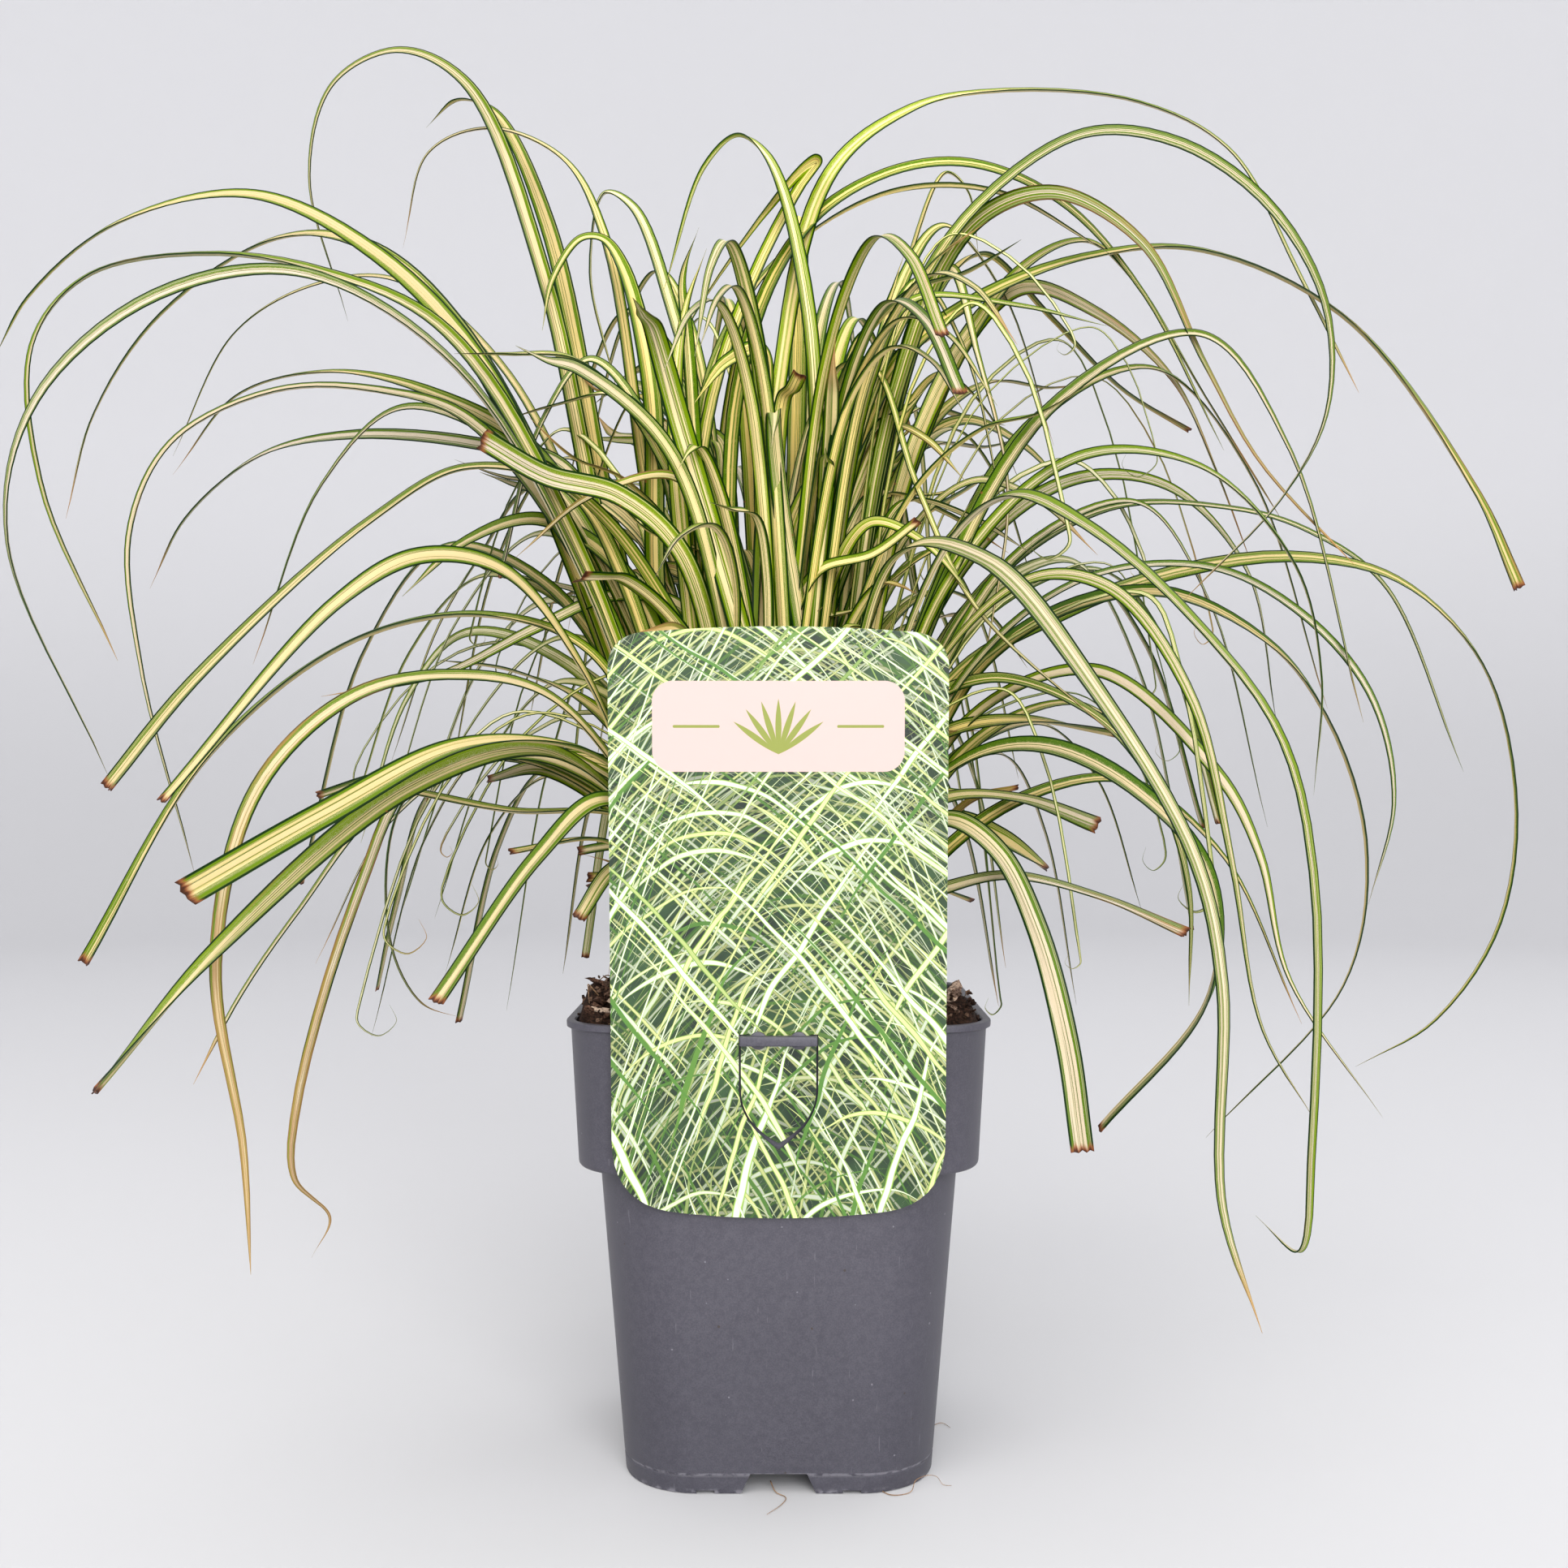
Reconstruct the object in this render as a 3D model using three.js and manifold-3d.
// A variegated carex sedge growing in its square nursery pot, with a plant label on the front.
// Millimetres, +Z up. The pot's foot stands on z = 0 round the Z axis, and its front faces -Y.
import * as THREE from 'three';
import { mergeVertices } from 'three/addons/utils/BufferGeometryUtils.js';
import Module from 'manifold-3d';

const wasm = await Module();
wasm.setup();

// ---- Driving dimensions ----
const CLEARANCE = 0.3; // between pieces that touch
const OVERRUN = 5; // how far a cutter runs past what it cuts

const POT_HEIGHT = 168;
const FOOT_HALF = 56.5; // half the width of the foot
const DRAFT = 0.075; // half width gained per mm of height
const BODY_CORNER = 28;
const WALL = 1.8;
const FLOOR_UNDER = 7.5; // height of the floor's underside above the table
const FLOOR = 2.4;
const FOOT_RING = 3.2;
const NOTCH_TOP = 20; // the notch in each side of the foot ring
const NOTCH_BOTTOM = 27;
const DRAIN_RADIUS = 4.5;
const DRAIN_CIRCLE = 36;
const DRAIN_COUNT = 8;

const COLLAR_BOTTOM = 115; // the collar steps out left and right, and is flush at the front
const COLLAR_HALF = 72;
const COLLAR_DRAFT = 0.048;
const COLLAR_CORNER = 20;
const LIP_HEIGHT = 2.6;
const LIP_PROUD = 1.5;

const BAR_WIDTH = 27; // the label bar under the lip
const BAR_BOTTOM = 161.6;
const BAR_TOP = 165;
const BAR_POST = 2;
const BAR_DEPTH = 3.6;

const LABEL_WIDTH = 116;
const LABEL_TOP = 138; // above and below the lip's level, along the label
const LABEL_BOTTOM = 68;
const LABEL_THICK = 0.8;
const LABEL_LEAN = THREE.MathUtils.degToRad(5);
const LABEL_GAP = 0.5; // between the lip and the label's back
const TONGUE_TIP = 44; // below the lip's level
const TONGUE_SHOULDER = 22;
const TONGUE_LINE = 0.9; // width of the cut round the tongue

const SOIL_EDGE = 160; // height of the soil at the wall
const SOIL_CROWN = 178; // and round the plant
const CROWN_RADIUS = 34;
const CROWN_BOTTOM = 150;
const CROWN_TOP = 236;
const CROWN_TOP_RADIUS = 30;
const MOUND_RADIUS = 115; // of the disc that the pot's inside trims
const MOUND_SKIRT = 8; // depth of that disc below the soil's edge
const MOUND_RINGS = 8;
const MOUND_SIDES = 24;
const LUMP = 1.4; // height of the lumps on the mound
const CHIP_COUNT = 44;
const CHIP_SEED = 11;
const CHIP_LEAST = [5, 3, 1.6]; // length, width and thickness of the smallest bark chip
const CHIP_SPREAD = [8, 3, 1.6]; // how much more the largest has
const CHIP_TILT = 0.35; // in radians, to either side
const CHIP_RIM = 72; // how far out the chips lie

const BLADE_STEPS = 8;
const BLADE_SIDES = 3;
const ROOT_HEIGHT = 168; // where every blade starts, inside the crown
const KEEL = 0.17; // depth of a blade for each mm of its width
const KEEL_LEAST = 0.8;
const BLADE_LEAST = 1; // width of a blade where it would be thinner
const FILL_COUNT = 48;
const FILL_SEED = 5;
const GOLDEN_TURN = 137.508;
const FRONT_EVERY = 7; // one fill blade in this many leans to the front
const BEND_SHARE = 0.35; // how strongly a bend draws the steps of a blade together

// ---- Helpers ----
function seeded(seed) {
  // A repeatable stream of numbers from 0 to 1.
  let state = seed;
  return () => {
    state = (state * 16807) % 2147483647;
    return (state % 100000) / 100000;
  };
}

function faceHalf(z) {
  return FOOT_HALF + DRAFT * z;
}

function collarHalf(z) {
  return COLLAR_HALF + COLLAR_DRAFT * (z - COLLAR_BOTTOM);
}

function roundedRectangle(halfX, halfY, radius) {
  const shape = new THREE.Shape();
  shape.moveTo(halfX, -halfY + radius);
  shape.absarc(halfX - radius, halfY - radius, radius, 0, Math.PI / 2);
  shape.absarc(-halfX + radius, halfY - radius, radius, Math.PI / 2, Math.PI);
  shape.absarc(-halfX + radius, -halfY + radius, radius, Math.PI, 1.5 * Math.PI);
  shape.absarc(halfX - radius, -halfY + radius, radius, 1.5 * Math.PI, 2 * Math.PI);
  return shape;
}

function solidFrom(geometry) {
  const bare = new THREE.BufferGeometry();
  bare.setAttribute('position', geometry.getAttribute('position'));
  bare.setIndex(geometry.getIndex());
  const merged = mergeVertices(bare, 1e-4);
  return new wasm.Manifold(
    new wasm.Mesh({
      numProp: 3,
      vertProperties: merged.getAttribute('position').array,
      triVerts: new Uint32Array(merged.getIndex().array),
    }),
  );
}

function geometryFrom(solid) {
  const mesh = solid.getMesh();
  const geometry = new THREE.BufferGeometry();
  geometry.setAttribute('position', new THREE.BufferAttribute(mesh.vertProperties, 3));
  geometry.setIndex(new THREE.BufferAttribute(mesh.triVerts, 1));
  return geometry;
}

function wholeBody(solid) {
  // The one main body, without loose scraps and sealed hollows.
  const bodies = solid.decompose();
  return bodies.reduce((best, body) => (body.volume() > best.volume() ? body : best));
}

// A block with round corners from height low to height high, whose half widths follow two rules.
function taperedBlock(low, high, halfX, halfY, corner) {
  const shape = roundedRectangle(halfX(low), halfY(low), corner);
  const geometry = new THREE.ExtrudeGeometry(shape, {
    depth: high - low,
    bevelEnabled: false,
    curveSegments: 6,
  });
  const position = geometry.getAttribute('position');
  for (let i = 0; i < position.count; i += 1) {
    if (position.getZ(i) > (high - low) / 2) {
      position.setX(i, (position.getX(i) * halfX(high)) / halfX(low));
      position.setY(i, (position.getY(i) * halfY(high)) / halfY(low));
    }
  }
  return solidFrom(geometry.translate(0, 0, low));
}

function box(x0, x1, y0, y1, z0, z1) {
  const geometry = new THREE.BoxGeometry(x1 - x0, y1 - y0, z1 - z0);
  return solidFrom(geometry.translate((x0 + x1) / 2, (y0 + y1) / 2, (z0 + z1) / 2));
}

function uprightCylinder(radius, low, high, sides) {
  const geometry = new THREE.CylinderGeometry(radius, radius, high - low, sides);
  return solidFrom(geometry.rotateX(Math.PI / 2).translate(0, 0, (low + high) / 2));
}

// ---- Pot ----
// The space inside the pot, drawn in by inset from the walls and ending at height top.
function potInside(inset, top) {
  const face = (z) => faceHalf(z) - WALL - inset;
  const collar = (z) => collarHalf(z) - WALL - inset;
  const floorTop = FLOOR_UNDER + FLOOR + inset;
  const ledge = COLLAR_BOTTOM + WALL + inset;
  const well = taperedBlock(floorTop, top, face, face, BODY_CORNER - WALL - inset);
  return well.add(taperedBlock(ledge, top, collar, face, COLLAR_CORNER - WALL - inset));
}

function footNotch() {
  const shape = new THREE.Shape();
  shape.moveTo(-NOTCH_BOTTOM / 2, -OVERRUN);
  shape.lineTo(NOTCH_BOTTOM / 2, -OVERRUN);
  shape.lineTo(NOTCH_BOTTOM / 2, 0);
  shape.lineTo(NOTCH_TOP / 2, FLOOR_UNDER);
  shape.lineTo(-NOTCH_TOP / 2, FLOOR_UNDER);
  shape.lineTo(-NOTCH_BOTTOM / 2, 0);
  const length = 2 * FOOT_HALF + 2 * OVERRUN;
  const geometry = new THREE.ExtrudeGeometry(shape, { depth: length, bevelEnabled: false });
  return geometry.translate(0, 0, -length / 2).rotateX(Math.PI / 2);
}

function labelBar() {
  const back = -faceHalf(BAR_BOTTOM) + WALL / 2;
  const slotFront = -labelPlane(BAR_BOTTOM) - LABEL_THICK / 2 - CLEARANCE;
  const front = slotFront - BAR_DEPTH;
  const half = BAR_WIDTH / 2;
  const bar = box(-half, half, front, back, BAR_BOTTOM, BAR_TOP);
  const slot = box(
    -half + BAR_POST,
    half - BAR_POST,
    slotFront,
    -faceHalf(BAR_BOTTOM),
    BAR_BOTTOM - OVERRUN,
    BAR_TOP + OVERRUN,
  );
  return bar.subtract(slot);
}

function pot() {
  let solid = taperedBlock(0, POT_HEIGHT, faceHalf, faceHalf, BODY_CORNER);
  solid = solid.add(
    taperedBlock(COLLAR_BOTTOM, POT_HEIGHT, collarHalf, faceHalf, COLLAR_CORNER),
  );
  const lipX = (z) => collarHalf(z) + LIP_PROUD;
  const lipY = (z) => faceHalf(z) + LIP_PROUD;
  solid = solid.add(
    taperedBlock(POT_HEIGHT - LIP_HEIGHT, POT_HEIGHT, lipX, lipY, COLLAR_CORNER + LIP_PROUD),
  );
  solid = solid.subtract(potInside(0, POT_HEIGHT + OVERRUN));
  const recess = (z) => faceHalf(z) - FOOT_RING;
  solid = solid.subtract(
    taperedBlock(-OVERRUN, FLOOR_UNDER, recess, recess, BODY_CORNER - FOOT_RING),
  );
  solid = solid.subtract(solidFrom(footNotch()));
  solid = solid.subtract(solidFrom(footNotch().rotateZ(Math.PI / 2)));
  for (let i = 0; i < DRAIN_COUNT; i += 1) {
    const turn = (2 * Math.PI * (i + 0.5)) / DRAIN_COUNT;
    const hole = uprightCylinder(DRAIN_RADIUS, 0, FLOOR_UNDER + FLOOR + OVERRUN, 12);
    solid = solid.subtract(
      hole.translate([DRAIN_CIRCLE * Math.cos(turn), DRAIN_CIRCLE * Math.sin(turn), 0]),
    );
  }
  return wholeBody(solid.add(labelBar()));
}

// ---- Label ----
// How far in front of the axis the middle of the leaning label is at height z.
function labelPlane(z) {
  const atLip = faceHalf(POT_HEIGHT) + LIP_PROUD + LABEL_GAP + LABEL_THICK / 2;
  return atLip + (z - POT_HEIGHT) * Math.tan(LABEL_LEAN);
}

function labelOutline() {
  const half = LABEL_WIDTH / 2;
  const topCorner = 11;
  const bottomCorner = 16;
  const bow = 3; // rise of the two curved edges
  const shape = new THREE.Shape();
  shape.moveTo(-half, -LABEL_BOTTOM + bow + bottomCorner);
  shape.quadraticCurveTo(-half, -LABEL_BOTTOM + bow, -half + bottomCorner, -LABEL_BOTTOM + bow / 2);
  shape.quadraticCurveTo(0, -LABEL_BOTTOM - bow / 2, half - bottomCorner, -LABEL_BOTTOM + bow / 2);
  shape.quadraticCurveTo(half, -LABEL_BOTTOM + bow, half, -LABEL_BOTTOM + bow + bottomCorner);
  shape.lineTo(half, LABEL_TOP - bow - topCorner);
  shape.quadraticCurveTo(half, LABEL_TOP - bow, half - topCorner, LABEL_TOP - bow / 2);
  shape.quadraticCurveTo(0, LABEL_TOP + bow / 2, -half + topCorner, LABEL_TOP - bow / 2);
  shape.quadraticCurveTo(-half, LABEL_TOP - bow, -half, LABEL_TOP - bow - topCorner);
  return shape;
}

// The cut that frees the tongue: two slots for the bar's posts and a line round a shield.
function tongueCut() {
  const waist = TONGUE_SHOULDER + 12; // where the shield's sides aim before they meet at its tip
  const outer = BAR_WIDTH / 2 + CLEARANCE;
  const post = BAR_WIDTH / 2 - BAR_POST - CLEARANCE;
  const inner = outer - TONGUE_LINE;
  const top = BAR_TOP - POT_HEIGHT + CLEARANCE;
  const bottom = BAR_BOTTOM - POT_HEIGHT - CLEARANCE;
  const path = new THREE.Path();
  path.moveTo(-outer, top);
  path.lineTo(-outer, -TONGUE_SHOULDER);
  path.quadraticCurveTo(-outer, -waist, 0, -TONGUE_TIP);
  path.quadraticCurveTo(outer, -waist, outer, -TONGUE_SHOULDER);
  path.lineTo(outer, top);
  path.lineTo(post, top);
  path.lineTo(post, bottom);
  path.lineTo(inner, bottom);
  path.lineTo(inner, -TONGUE_SHOULDER);
  path.quadraticCurveTo(inner, -waist, 0, -TONGUE_TIP + 1.5 * TONGUE_LINE);
  path.quadraticCurveTo(-inner, -waist, -inner, -TONGUE_SHOULDER);
  path.lineTo(-inner, bottom);
  path.lineTo(-post, bottom);
  path.lineTo(-post, top);
  return path;
}

function label() {
  const shape = labelOutline();
  shape.holes.push(tongueCut());
  const card = new THREE.ExtrudeGeometry(shape, {
    depth: LABEL_THICK,
    bevelEnabled: false,
    curveSegments: 8,
  });
  return card.translate(0, 0, -LABEL_THICK / 2);
}

// ---- Soil ----
function moundHeight(x, y) {
  const reach = Math.min(Math.hypot(x, y) / faceHalf(SOIL_EDGE), 1);
  const lumps = Math.sin(x / 5.3 + 1) * Math.cos(y / 6.1) + Math.sin((x + y) / 8.7);
  return SOIL_EDGE + (SOIL_CROWN - SOIL_EDGE) * (1 - reach * reach) + LUMP * lumps;
}

// A disc of soil wide enough to be trimmed by the pot's wall, with a lumpy mounded top.
function mound() {
  const low = SOIL_EDGE - MOUND_SKIRT;
  const profile = [new THREE.Vector2(0, low), new THREE.Vector2(MOUND_RADIUS, low)];
  for (let ring = MOUND_RINGS; ring >= 0; ring -= 1) {
    profile.push(new THREE.Vector2((MOUND_RADIUS * ring) / MOUND_RINGS, SOIL_EDGE));
  }
  const geometry = new THREE.LatheGeometry(profile, MOUND_SIDES).rotateX(Math.PI / 2);
  const position = geometry.getAttribute('position');
  for (let i = 0; i < position.count; i += 1) {
    if (position.getZ(i) > low + 1) {
      position.setZ(i, moundHeight(position.getX(i), position.getY(i)));
    }
  }
  return solidFrom(geometry);
}

function barkChip(random) {
  const turn = 2 * Math.PI * random();
  const reach = CROWN_RADIUS + 4 + (CHIP_RIM - CROWN_RADIUS) * Math.sqrt(random());
  const size = CHIP_LEAST.map((least, axis) => least + CHIP_SPREAD[axis] * random());
  const geometry = new THREE.BoxGeometry(...size);
  geometry.rotateY(CHIP_TILT * (2 * random() - 1));
  geometry.rotateX(CHIP_TILT * (2 * random() - 1));
  geometry.rotateZ(2 * Math.PI * random());
  const x = reach * Math.cos(turn);
  const y = reach * Math.sin(turn);
  return solidFrom(geometry.translate(x, y, moundHeight(x, y) + 0.4));
}

function soil() {
  const random = seeded(CHIP_SEED);
  const lower = potInside(CLEARANCE, SOIL_EDGE - 4);
  const pieces = [lower, mound()];
  for (let i = 0; i < CHIP_COUNT; i += 1) {
    pieces.push(barkChip(random));
  }
  const heap = wasm.Manifold.union(pieces).intersect(potInside(CLEARANCE, CROWN_TOP));
  const hole = uprightCylinder(CROWN_RADIUS + CLEARANCE, CROWN_BOTTOM - CLEARANCE, CROWN_TOP, 18);
  return wholeBody(heap.subtract(hole));
}

// ---- Foliage ----
// Each blade: turn in degrees (0 is right, 90 is back), offset of its upright plane from the
// axis, width, tip, and its way as [reach, height] pairs from the root outwards.
const POINT = 0.12; // width kept at the tip
const THREAD = 0.1;
const CUT = 0.85;
const BLADES = [
  // left, high arches
  [170, 0, 8, THREAD, [
    [15], [68, 335], [95, 455], [127, 533], [157, 549], [185, 537], [195, 500], [178, 440],
  ]],
  [150, 0, 7, POINT, [[20], [75, 345], [108, 485], [136, 538], [156, 546], [172, 537]]],
  [165, 0, 6, THREAD, [[10], [52, 355], [72, 470], [90, 504], [124, 520], [151, 512], [162, 474]]],
  [185, 0, 8, POINT, [
    [22], [75, 325], [113, 411], [154, 455], [201, 477], [252, 465], [284, 437], [297, 413],
  ]],
  [195, 0, 8, THREAD, [
    [18], [80, 345], [128, 420], [172, 438], [210, 441], [250, 430], [268, 405], [265, 355],
    [240, 295],
  ]],
  [205, 0, 9, POINT, [
    [22], [80, 330], [128, 402], [180, 427], [227, 414], [264, 376], [273, 330], [243, 255],
  ]],
  [172, 15, 8, POINT, [
    [20], [75, 335], [125, 430], [163, 465], [200, 470], [250, 442], [280, 402], [292, 360],
  ]],
  [166, 0, 5, THREAD, [[12], [70, 330], [115, 420], [162, 460], [200, 462], [240, 444], [270, 393]]],
  [175, -8, 7, POINT, [[20], [60, 310], [96, 382], [139, 408], [181, 417], [218, 408], [244, 376]]],
  [188, 5, 8, POINT, [
    [18], [70, 325], [118, 389], [150, 399], [188, 398], [225, 378], [240, 345], [236, 295],
    [217, 220],
  ]],
  [172, 0, 7, THREAD, [[22], [84, 376], [120, 388], [175, 394], [216, 387], [249, 362], [265, 333]]],
  [200, 0, 8, CUT, [[20], [60, 325], [83, 362], [121, 368], [155, 347], [214, 289], [243, 251]]],
  [212, 0, 8, CUT, [[22], [60, 245], [85, 295], [115, 327], [146, 330], [175, 313], [232, 247]]],
  // left, low and hanging
  [208, 0, 8, CUT, [[22], [50, 255], [78, 301], [118, 313], [165, 302], [213, 262], [251, 195]]],
  [180, 8, 7, POINT, [[5], [35, 318], [63, 325], [95, 312], [130, 295], [178, 286]]],
  [165, 0, 9, POINT, [[24], [45, 245], [76, 283], [110, 298], [146, 303]]],
  [218, 0, 8, THREAD, [
    [20], [60, 240], [102, 283], [142, 289], [178, 280], [209, 250], [222, 198], [214, 140],
    [212, 101],
  ]],
  [190, 0, 8, CUT, [[24], [40, 240], [70, 261], [140, 259], [174, 248]]],
  [228, 0, 9.5, CUT, [[22], [48, 230], [84, 259], [110, 267], [151, 265], [198, 244], [244, 221]]],
  [222, 0, 9, CUT, [[20], [64, 235], [108, 264], [162, 252], [230, 202], [265, 166]]],
  [195, 0, 6, POINT, [[20], [50, 235], [95, 263], [146, 248], [180, 206], [200, 176], [215, 146]]],
  [205, 12, 6, THREAD, [
    [18], [55, 240], [100, 266], [144, 254], [163, 215], [183, 145], [184, 118], [172, 103], [178, 90],
  ]],
  [222, -10, 7, CUT, [[20], [52, 235], [100, 262], [160, 250], [175, 212], [185, 182]]],
  [185, 10, 4, THREAD, [[22], [60, 240], [105, 262], [141, 247], [147, 197], [135, 171], [119, 165]]],
  [230, 0, 6, CUT, [[22], [54, 232], [95, 247], [125, 228], [167, 184]]],
  [200, 10, 8, CUT, [[22], [40, 222], [65, 241], [105, 243], [142, 250]]],
  [184, 0, 7, CUT, [[22], [46, 225], [90, 258], [112, 254]]],
  [205, -5, 7, CUT, [[22], [44, 215], [72, 232], [108, 228]]],
  [218, 0, 6, CUT, [[22], [44, 215], [72, 222], [88, 204]]],
  [150, 0, 6, POINT, [[-20], [2, 314], [60, 336], [100, 334], [122, 327]]],
  [140, 0, 6, POINT, [[25], [95, 345], [140, 383], [175, 355], [205, 322], [236, 262]]],
  // middle, upright
  [180, 20, 8, THREAD, [[-8], [-14, 314], [-11, 431], [4, 487], [15, 495], [28, 483], [43, 436]]],
  [180, 0, 8, THREAD, [
    [22], [47, 315], [50, 408], [61, 455], [69, 466], [78, 466], [89, 450], [93, 430],
  ]],
  [180, -26, 8, THREAD, [[10], [26, 375], [42, 440], [59, 486], [71, 492], [77, 460], [66, 412]]],
  [0, -20, 9, THREAD, [
    [-18], [-31, 313], [-28, 386], [-13, 437], [7, 478], [14, 488], [10, 486], [-6, 468], [-30, 434],
    [-46, 404],
  ]],
  [180, 20, 8, POINT, [[15], [28, 330], [34, 420], [36, 442], [30, 461]]],
  [0, 30, 6, THREAD, [[10], [38, 380], [54, 470], [67, 498], [76, 490], [80, 462]]],
  [0, -8, 6, POINT, [[12], [38, 370], [55, 435], [66, 450], [76, 418], [88, 365], [79, 298]]],
  [335, 0, 7, POINT, [[-4], [10, 370], [24, 413], [38, 411], [55, 365], [78, 318], [129, 270]]],
  [0, -22, 6, POINT, [[-18], [-34, 400], [-30, 468], [-17, 400], [10, 362]]],
  [0, -18, 9, POINT, [[-5], [8, 300], [28, 395], [55, 445], [78, 462]]],
  [0, 5, 9, POINT, [[4], [20, 310], [38, 390], [58, 440], [68, 462]]],
  [10, 20, 8, CUT, [[0], [22, 290], [50, 350], [88, 378]]],
  [8, -10, 7, THREAD, [
    [-10], [-18, 400], [6, 462], [38, 486], [72, 492], [108, 479], [141, 445], [174, 383],
  ]],
  [350, 10, 7, POINT, [[-16], [-34, 390], [-21, 434], [6, 465], [44, 482], [84, 479], [127, 452]]],
  [100, 0, 8, POINT, [[10], [35, 330], [65, 430], [105, 470], [150, 440]]],
  [75, 0, 7, THREAD, [[12], [40, 350], [75, 450], [120, 480], [160, 430]]],
  // right, high arches
  [6, -10, 7, THREAD, [
    [-12], [-2, 400], [18, 485], [49, 511], [80, 519], [138, 517], [175, 499], [203, 450], [226, 405],
  ]],
  [345, 0, 9, THREAD, [
    [5], [26, 366], [49, 430], [77, 470], [116, 493], [150, 487], [182, 462], [202, 425], [203, 385],
    [188, 355], [153, 319],
  ]],
  [358, 0, 8, CUT, [
    [8], [22, 350], [45, 415], [75, 440], [118, 457], [163, 460], [220, 433], [270, 366], [287, 328],
  ]],
  [10, 0, 7, POINT, [[15], [50, 370], [95, 455], [125, 470], [145, 455], [175, 410], [208, 360]]],
  [350, 0, 8, POINT, [
    [12], [45, 400], [75, 464], [105, 474], [138, 453], [160, 408], [180, 370], [213, 331],
  ]],
  [15, 0, 7, CUT, [[14], [45, 390], [70, 455], [86, 466], [115, 443], [147, 416], [178, 400]]],
  [15, -10, 7, POINT, [[14], [55, 390], [97, 450], [130, 444], [166, 419], [188, 380], [204, 343]]],
  [312, 0, 9.5, THREAD, [
    [22], [65, 300], [93, 340], [118, 350], [150, 336], [190, 304], [222, 266], [233, 225], [233, 150],
    [229, 118], [215, 126],
  ]],
  [12, 10, 7, POINT, [[18], [70, 330], [120, 375], [165, 375], [200, 341], [213, 275]]],
  [340, 0, 6, THREAD, [[20], [65, 325], [115, 372], [160, 366], [192, 330], [201, 290], [198, 248]]],
  [350, -10, 6, THREAD, [
    [22], [70, 290], [115, 328], [162, 332], [195, 314], [219, 284], [227, 246], [218, 208],
  ]],
  [4, 0, 6, THREAD, [
    [20], [65, 290], [109, 318], [150, 334], [203, 342], [246, 333], [280, 300], [293, 245],
    [285, 195], [258, 158], [226, 141],
  ]],
  [6, 10, 6, POINT, [[22], [75, 320], [130, 362], [185, 364], [218, 355], [250, 333], [283, 257]]],
  // right, low and hanging
  [325, 0, 8, CUT, [
    [22], [50, 235], [82, 262], [112, 266], [146, 251], [172, 222], [172, 182], [131, 132],
  ]],
  [318, 0, 8.5, CUT, [[22], [48, 222], [80, 240], [103, 229], [119, 203], [131, 165], [137, 129]]],
  [355, 0, 8, CUT, [[24], [40, 252], [64, 272], [95, 277], [129, 271]]],
  [340, 0, 8, CUT, [[22], [40, 230], [66, 247], [95, 247], [123, 237]]],
  [350, 6, 9.5, CUT, [[22], [42, 226], [65, 239], [85, 232], [103, 220]]],
  [328, -6, 7, CUT, [[22], [42, 203], [70, 213], [100, 220], [135, 214], [166, 203]]],
  [345, 0, 7, THREAD, [[22], [50, 275], [82, 292], [121, 278], [144, 250], [155, 215], [155, 172]]],
  [335, 0, 6, POINT, [
    [22], [60, 290], [100, 327], [130, 322], [158, 283], [172, 225], [182, 168], [200, 136],
  ]],
  [300, 0, 8, THREAD, [
    [20], [76, 330], [130, 325], [182, 282], [224, 232], [234, 198], [233, 138], [247, 107],
  ]],
  [345, 12, 6, THREAD, [[22], [70, 275], [120, 295], [165, 256], [180, 226], [190, 182], [222, 133]]],
  [355, -8, 7, POINT, [
    [22], [80, 300], [140, 325], [185, 305], [207, 275], [220, 228], [212, 178], [161, 120],
  ]],
];

// The other blades of the tuft, by kind. Each pair is the least value and how much more there may be.
const FILL_UPRIGHT = { crestReach: [45, 45], crestHeight: [400, 95], hang: [30, 28], drop: [40, 60] };
const FILL_ARCHING = { crestReach: [115, 45], crestHeight: [345, 80], hang: [52, 28], drop: [90, 60] };
const FILL_LOW = { crestReach: [110, 45], crestHeight: [250, 40], hang: [45, 28], drop: [70, 60] };
const FILL_FRONT = { crestReach: [80, 20], crestHeight: [395, 40], hang: [40, 28], drop: [30, 20] };
const FILL_KINDS = [FILL_UPRIGHT, FILL_ARCHING, FILL_LOW];

// Upright, arching and low blades in turn, mostly at the back, and now and then a high one that
// leans out over the label.
function fillBlade(index, random) {
  const draw = ([least, spread]) => least + spread * random();
  const front = index % FRONT_EVERY === 0;
  const kind = front ? FILL_FRONT : FILL_KINDS[index % FILL_KINDS.length];
  const turn = front ? 240 + 60 * random() : ((index * GOLDEN_TURN) % 200) - 10;
  const crestReach = draw(kind.crestReach);
  const crestHeight = draw(kind.crestHeight);
  const tipReach = crestReach + draw(kind.hang);
  const tipHeight = crestHeight - draw(kind.drop);
  const root = front ? -10 * random() : 6 + 18 * random();
  const rise = crestHeight - ROOT_HEIGHT;
  const way = [
    [root],
    [root + 0.28 * (crestReach - root), ROOT_HEIGHT + 0.55 * rise],
    [root + 0.62 * (crestReach - root), ROOT_HEIGHT + 0.9 * rise],
    [crestReach, crestHeight],
    [0.45 * crestReach + 0.55 * tipReach, 0.7 * crestHeight + 0.3 * tipHeight],
    [tipReach, tipHeight],
  ];
  const offset = 16 * (random() - 0.5);
  const width = 5 + 3 * random();
  const tip = index % 5 === 0 ? CUT : POINT;
  return [turn, offset, width, tip, way];
}

function bladeCurve(way) {
  const points = way.map(([reach, height = ROOT_HEIGHT]) => new THREE.Vector3(reach, 0, height));
  return new THREE.CatmullRomCurve3(points, false, 'centripetal');
}

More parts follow.
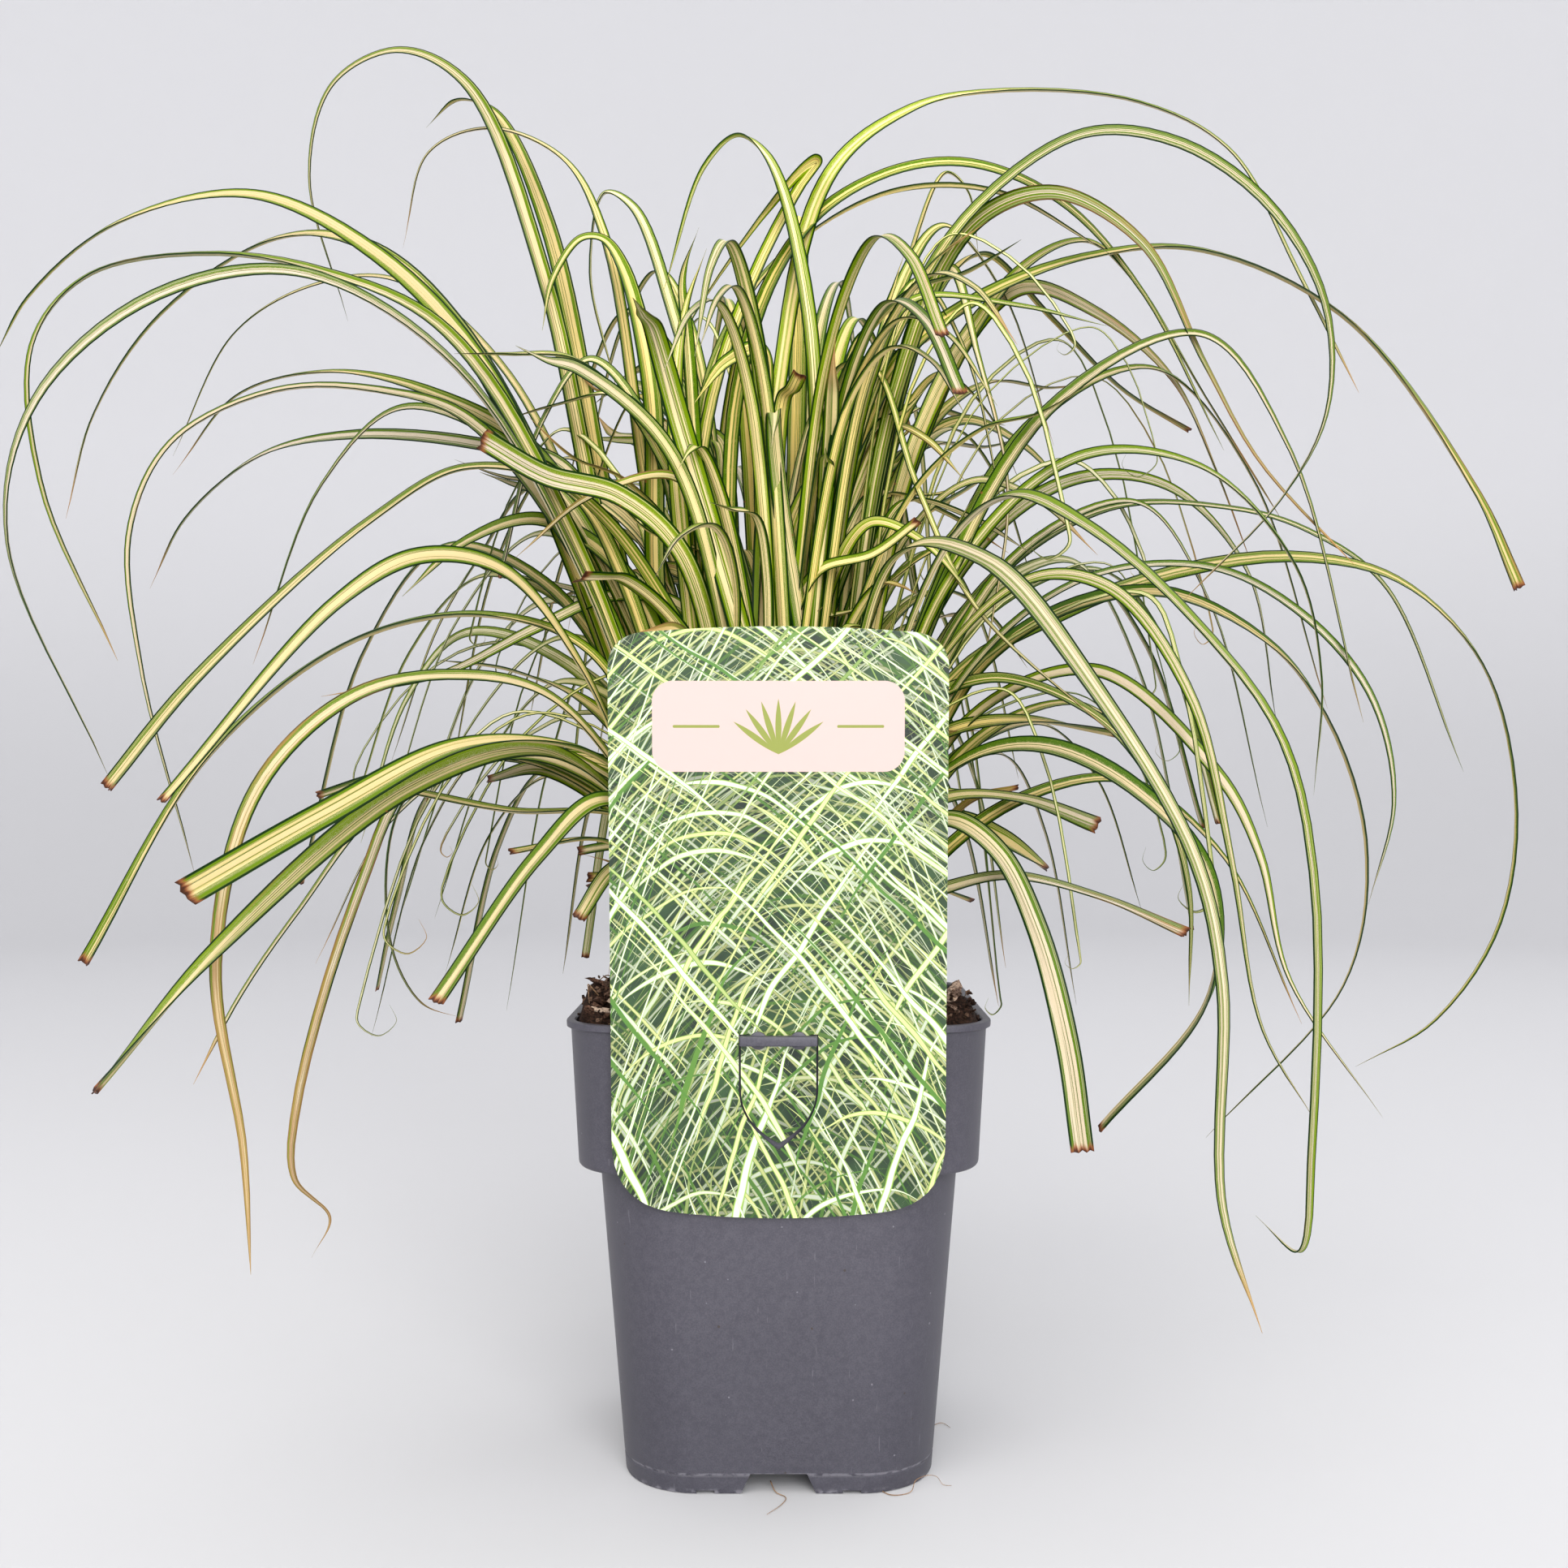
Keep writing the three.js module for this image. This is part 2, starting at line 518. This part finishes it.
// Full width over the lower part, narrowing evenly to the tip, and a slimmer foot.
function bladeWidth(width, tip, along) {
  const foot = 0.7 + 0.3 * Math.min(along / 0.2, 1);
  const narrowing = Math.max(0, (along - 0.35) / 0.65);
  return Math.max(width * foot * (1 - (1 - tip) * narrowing), BLADE_LEAST);
}

// Places along a curve, closer together where it bends: each step has its share of length and
// turning.
function evenBends(curve, steps) {
  const samples = 120;
  const gone = [0];
  let before = curve.getTangent(0);
  let last = curve.getPoint(0);
  const length = curve.getLength();
  for (let i = 1; i <= samples; i += 1) {
    const point = curve.getPoint(i / samples);
    const tangent = curve.getTangent(i / samples);
    const step = point.distanceTo(last) / length + BEND_SHARE * tangent.angleTo(before);
    gone.push(gone[i - 1] + step);
    before = tangent;
    last = point;
  }
  const places = [];
  for (let i = 0; i <= steps; i += 1) {
    const wanted = (gone[samples] * i) / steps;
    const at = Math.max(gone.findIndex((value) => value >= wanted - 1e-9), 1);
    const part = (wanted - gone[at - 1]) / (gone[at] - gone[at - 1]);
    places.push((at - 1 + part) / samples);
  }
  return places;
}

// A keeled, three-sided strip bent along its way. It rolls so that its upper face shows to the front.
function blade([turn, offset, width, tip, way], index) {
  const curve = bladeCurve(way);
  const steps = Math.max(BLADE_STEPS, way.length);
  const places = evenBends(curve, steps);
  const geometry = new THREE.CylinderGeometry(1, 1, 1, BLADE_SIDES, steps);
  const position = geometry.getAttribute('position');
  const turnAngle = THREE.MathUtils.degToRad(turn);
  const frontward = Math.cos(turnAngle) > 0 ? 1 : -1;
  const roll = frontward * Math.abs(Math.cos(turnAngle)) * (0.95 + 0.2 * Math.sin(index * 2.4));
  for (let i = 0; i < position.count; i += 1) {
    const along = places[Math.round((position.getY(i) + 0.5) * steps)];
    const middle = curve.getPoint(along);
    const tangent = curve.getTangent(along);
    const rolled = roll * (1 - 0.6 * along);
    const full = bladeWidth(width, tip, along);
    const across = (position.getX(i) * full) / Math.sqrt(3);
    const down = position.getZ(i) > 0.9 ? -Math.max(KEEL * full, KEEL_LEAST) : 0;
    const lift = down * Math.cos(rolled) + across * Math.sin(rolled);
    const x = middle.x - tangent.z * lift;
    const y = offset + across * Math.cos(rolled) - down * Math.sin(rolled);
    const z = middle.z + tangent.x * lift;
    position.setXYZ(i, x, y, z);
  }
  return solidFrom(geometry.rotateZ(turnAngle));
}

// The packed sheaths at the heart of the tuft, straight in the soil and narrowing above it.
function crown() {
  const profile = [
    new THREE.Vector2(0, CROWN_BOTTOM),
    new THREE.Vector2(CROWN_RADIUS, CROWN_BOTTOM),
    new THREE.Vector2(CROWN_RADIUS, SOIL_CROWN),
    new THREE.Vector2(CROWN_TOP_RADIUS, CROWN_TOP),
    new THREE.Vector2(0, CROWN_TOP + 4),
  ];
  return solidFrom(new THREE.LatheGeometry(profile, 18).rotateX(Math.PI / 2));
}

function foliage() {
  const random = seeded(FILL_SEED);
  const ways = [...BLADES];
  for (let i = 0; i < FILL_COUNT; i += 1) {
    ways.push(fillBlade(i, random));
  }
  return wholeBody(wasm.Manifold.union([crown(), ...ways.map(blade)]));
}

// ---- Assembly ----
function part(name, geometry, color, roughness) {
  const material = new THREE.MeshStandardMaterial({ color, roughness, metalness: 0 });
  const mesh = new THREE.Mesh(geometry, material);
  mesh.name = name;
  return mesh;
}

const sedge = new THREE.Group();
sedge.add(part('pot', geometryFrom(pot()), 0x62616b, 0.55));
sedge.add(part('soil', geometryFrom(soil()), 0x3a2a20, 0.95));
sedge.add(part('foliage', geometryFrom(foliage()), 0xa9b060, 0.5));

const card = part('label', label(), 0xe9d3cf, 0.4);
card.rotation.x = Math.PI / 2 + LABEL_LEAN;
card.position.set(0, -labelPlane(POT_HEIGHT), POT_HEIGHT);
sedge.add(card);

export default sedge;
